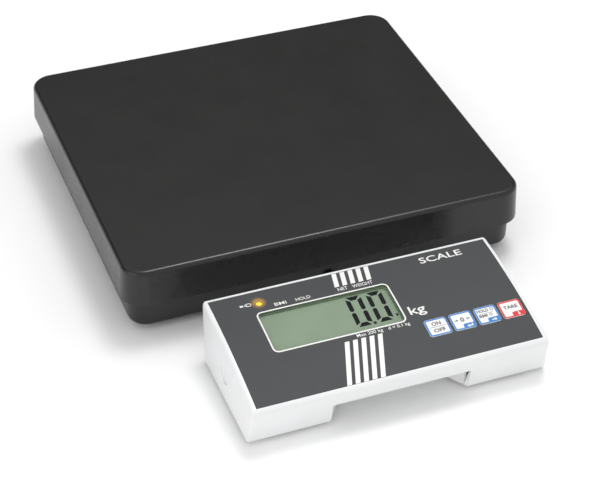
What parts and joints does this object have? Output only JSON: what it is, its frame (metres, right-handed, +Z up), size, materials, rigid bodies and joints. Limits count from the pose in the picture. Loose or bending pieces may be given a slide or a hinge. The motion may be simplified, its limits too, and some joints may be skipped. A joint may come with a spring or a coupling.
{
  "type": "platform floor scale",
  "caption": "Low square platform floor scale on levelling feet, with a separate wedge-shaped display unit that has an LCD, keys and a battery bay.",
  "frame": {"origin": "bottom centre of the whole row's box, on the floor, with the platform and the display unit standing as in use", "axes": "+Z up; +Y from the display unit to the platform, the row's longest way; +X to the right for a person who reads the display"},
  "size_m": [0.3044, 0.401, 0.057],
  "materials": {
    "cover_plastic": "satin, lightly textured",
    "tray_plastic": "satin",
    "rubber": "matte",
    "brass": "turned",
    "steel": "zinc plated",
    "screw_steel": "zinc plated",
    "frame_steel": "powder coat",
    "aluminium": "milled",
    "silicone": "soft, matte",
    "cable_jacket": "matte",
    "black_nylon": "moulded",
    "white_plastic": "satin moulded",
    "overlay_film": "satin film",
    "circuit_film": "film",
    "contact_metal": "nickel plated",
    "clear_window": "clear",
    "lcd_glass": "reflective",
    "circuit_board": "solder mask",
    "amber_led": "glowing",
    "clear_bumper": "translucent",
    "battery_sleeve": "printed sleeve",
    "key_film": "satin film"
  },
  "bodies": {
    "base": {"base_tray": "tray_plastic", "foot_inserts": "brass", "lower_spacer": "steel", "load_cell": "aluminium", "cell_base_screws": "screw_steel", "gauge_cover": "silicone", "load_cell_lead": "cable_jacket", "cable_gland": "black_nylon", "gland_nut": "black_nylon", "overload_stops": "steel"},
    "load_frame": {"load_frame": "frame_steel", "upper_spacer": "steel", "cell_top_screws": "screw_steel", "support_pads": "rubber"},
    "cover": {"platform_cover": "cover_plastic"},
    "foot_pad_front_left": {"foot_pad_front_left": "rubber"},
    "foot_screw_front_left": {"foot_screw_front_left": "steel"},
    "foot_pad_front_right": {"foot_pad_front_right": "rubber"},
    "foot_screw_front_right": {"foot_screw_front_right": "steel"},
    "foot_pad_rear_left": {"foot_pad_rear_left": "rubber"},
    "foot_screw_rear_left": {"foot_screw_rear_left": "steel"},
    "foot_pad_rear_right": {"foot_pad_rear_right": "rubber"},
    "foot_screw_rear_right": {"foot_screw_rear_right": "steel"},
    "display": {"display_housing": "white_plastic", "display_base": "white_plastic", "keypad_overlay": "overlay_film", "keypad_circuit": "circuit_film", "key_domes": "contact_metal", "lcd_window": "clear_window", "lcd_panel": "lcd_glass", "lcd_holder": "black_nylon", "zebra_strips": "silicone", "main_board": "circuit_board", "board_chips": "black_nylon", "tail_connector": "white_plastic", "indicator_led": "amber_led", "buzzer": "black_nylon", "board_screws": "screw_steel", "case_screws": "screw_steel", "display_feet": "clear_bumper", "battery_cells": "battery_sleeve", "contact_springs": "contact_metal", "contact_plates": "contact_metal", "dc_jack": "black_nylon", "cable_socket": "contact_metal"},
    "key_on_off": {"key_on_off": "key_film"},
    "key_zero": {"key_zero": "key_film"},
    "key_hold": {"key_hold": "key_film"},
    "key_tare": {"key_tare": "key_film"},
    "battery_door": {"battery_door": "white_plastic"}
  },
  "joints": [
    {"name": "load_frame_press", "type": "slide", "parent": "base", "child": "load_frame", "axis": [0, 0, -1], "range_m": [0, 0.0008], "stiffness_N_per_m": 100000, "springref_m": -0.0002, "deforming": ["load_cell"]},
    {"name": "cover_lift", "type": "slide", "parent": "load_frame", "child": "cover", "axis": [0, 0, 1], "range_m": [0, 0.08]},
    {"name": "foot_height_front_left", "type": "slide", "parent": "base", "child": "foot_pad_front_left", "axis": [0, 0, -1], "range_m": [0, 0.006]},
    {"name": "foot_turn_front_left", "type": "hinge", "parent": "foot_pad_front_left", "child": "foot_screw_front_left", "pos_m": [-0.117, -0.03468, 0.005], "axis": [0, 0, -1], "range_deg": [0, 1720]},
    {"name": "foot_height_front_right", "type": "slide", "parent": "base", "child": "foot_pad_front_right", "axis": [0, 0, -1], "range_m": [0, 0.006]},
    {"name": "foot_turn_front_right", "type": "hinge", "parent": "foot_pad_front_right", "child": "foot_screw_front_right", "pos_m": [0.117, -0.03468, 0.005], "axis": [0, 0, -1], "range_deg": [0, 1720]},
    {"name": "foot_height_rear_left", "type": "slide", "parent": "base", "child": "foot_pad_rear_left", "axis": [0, 0, -1], "range_m": [0, 0.006]},
    {"name": "foot_turn_rear_left", "type": "hinge", "parent": "foot_pad_rear_left", "child": "foot_screw_rear_left", "pos_m": [-0.117, 0.16532, 0.005], "axis": [0, 0, -1], "range_deg": [0, 1720]},
    {"name": "foot_height_rear_right", "type": "slide", "parent": "base", "child": "foot_pad_rear_right", "axis": [0, 0, -1], "range_m": [0, 0.006]},
    {"name": "foot_turn_rear_right", "type": "hinge", "parent": "foot_pad_rear_right", "child": "foot_screw_rear_right", "pos_m": [0.117, 0.16532, 0.005], "axis": [0, 0, -1], "range_deg": [0, 1720]},
    {"name": "display_place", "type": "slide", "parent": "base", "child": "display", "axis": [0, -1, 0], "range_m": [0, 0.3]},
    {"name": "key_on_off_press", "type": "slide", "parent": "display", "child": "key_on_off", "axis": [0, 0.1714, -0.9852], "range_m": [0, 0.0004], "stiffness_N_per_m": 1000, "springref_m": -0.0005},
    {"name": "key_zero_press", "type": "slide", "parent": "display", "child": "key_zero", "axis": [0, 0.1714, -0.9852], "range_m": [0, 0.0004], "stiffness_N_per_m": 1000, "springref_m": -0.0005},
    {"name": "key_hold_press", "type": "slide", "parent": "display", "child": "key_hold", "axis": [0, 0.1714, -0.9852], "range_m": [0, 0.0004], "stiffness_N_per_m": 1000, "springref_m": -0.0005},
    {"name": "key_tare_press", "type": "slide", "parent": "display", "child": "key_tare", "axis": [0, 0.1714, -0.9852], "range_m": [0, 0.0004], "stiffness_N_per_m": 1000, "springref_m": -0.0005},
    {"name": "battery_door_slide", "type": "slide", "parent": "display", "child": "battery_door", "axis": [0, -1, 0], "range_m": [0, 0.057]}
  ],
  "couplings": [
    {"joint": "foot_height_front_left", "follows": "foot_turn_front_left", "m_per_rad": 0.00019894},
    {"joint": "foot_height_front_right", "follows": "foot_turn_front_right", "m_per_rad": 0.00019894},
    {"joint": "foot_height_rear_left", "follows": "foot_turn_rear_left", "m_per_rad": 0.00019894},
    {"joint": "foot_height_rear_right", "follows": "foot_turn_rear_right", "m_per_rad": 0.00019894}
  ]
}
